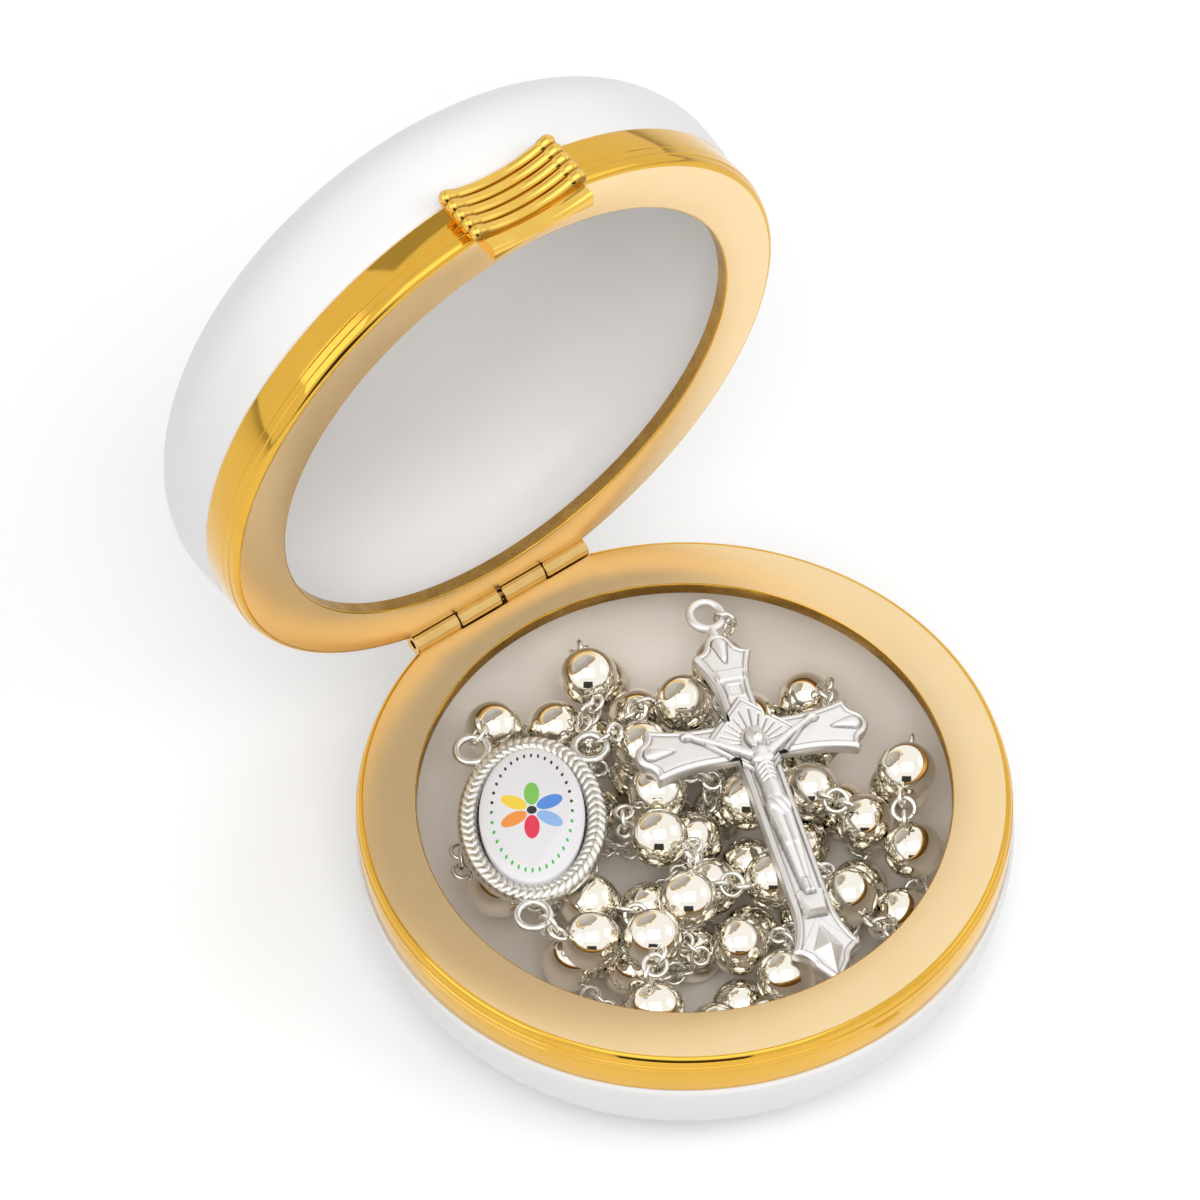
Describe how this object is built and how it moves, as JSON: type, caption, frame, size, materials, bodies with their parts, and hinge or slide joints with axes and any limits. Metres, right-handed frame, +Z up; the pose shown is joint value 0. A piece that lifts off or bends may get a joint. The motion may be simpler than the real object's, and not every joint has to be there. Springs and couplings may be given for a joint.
{
  "type": "rosary box",
  "caption": "Round hinged porcelain keepsake box in gilt mounts with a ribbed snap clasp, standing open with a beaded silver rosary lying in its bowl.",
  "frame": {"origin": "centre of the flat foot, on the surface that the box stands on", "axes": "+Z up, +Y to the hinge, -Y to the clasp, X along the hinge pin"},
  "size_m": [0.0654, 0.0824, 0.086],
  "materials": {
    "porcelain": "opaque white porcelain, satin glaze",
    "gilt_mount": "gilt brass, satin flange and polished band",
    "gilt_hinge": "polished gilt brass",
    "gilt_clasp": "polished gilt casting",
    "silver_bead": "mirror silver plate",
    "silver_wire": "bright silver-plated wire",
    "silver_satin": "frosted silver casting with bright edges",
    "silver_cast": "bright silver casting",
    "insert": "domed clear resin over a white printed disc"
  },
  "bodies": {
    "base": {"base_bowl": "porcelain", "base_catch_nib": "gilt_mount", "base_hinge_knuckles": "gilt_hinge", "base_mount_ring": "gilt_mount", "hinge_pin": "gilt_hinge"},
    "lid": {"lid_clasp": "gilt_clasp", "lid_dome": "porcelain", "lid_hinge_knuckles": "gilt_hinge", "lid_mount_ring": "gilt_mount"},
    "rosary": {"centre_medal": "silver_cast", "crucifix": "silver_satin", "crucifix_link": "silver_wire", "decade_1_beads": "silver_bead", "decade_1_eye_pins": "silver_wire", "decade_1_links": "silver_wire", "decade_2_beads": "silver_bead", "decade_2_eye_pins": "silver_wire", "decade_2_links": "silver_wire", "decade_3_beads": "silver_bead", "decade_3_eye_pins": "silver_wire", "decade_3_links": "silver_wire", "decade_4_beads": "silver_bead", "decade_4_eye_pins": "silver_wire", "decade_4_links": "silver_wire", "decade_5_beads": "silver_bead", "decade_5_eye_pins": "silver_wire", "decade_5_links": "silver_wire", "medal_insert": "insert", "medal_links": "silver_wire", "our_father_beads": "silver_bead", "our_father_eye_pins": "silver_wire", "pendant_beads": "silver_bead", "pendant_eye_pins": "silver_wire", "single_bead_links": "silver_wire"}
  },
  "joints": [
    {"name": "lid_hinge", "type": "hinge", "parent": "base", "child": "lid", "pos_m": [0, 0.0313, 0.0195], "axis": [1, 0, 0], "range_deg": [0, 84.2]},
    {"name": "rosary_lift", "type": "slide", "parent": "base", "child": "rosary", "axis": [0, 0, 1], "range_m": [0, 0.06]}
  ]
}
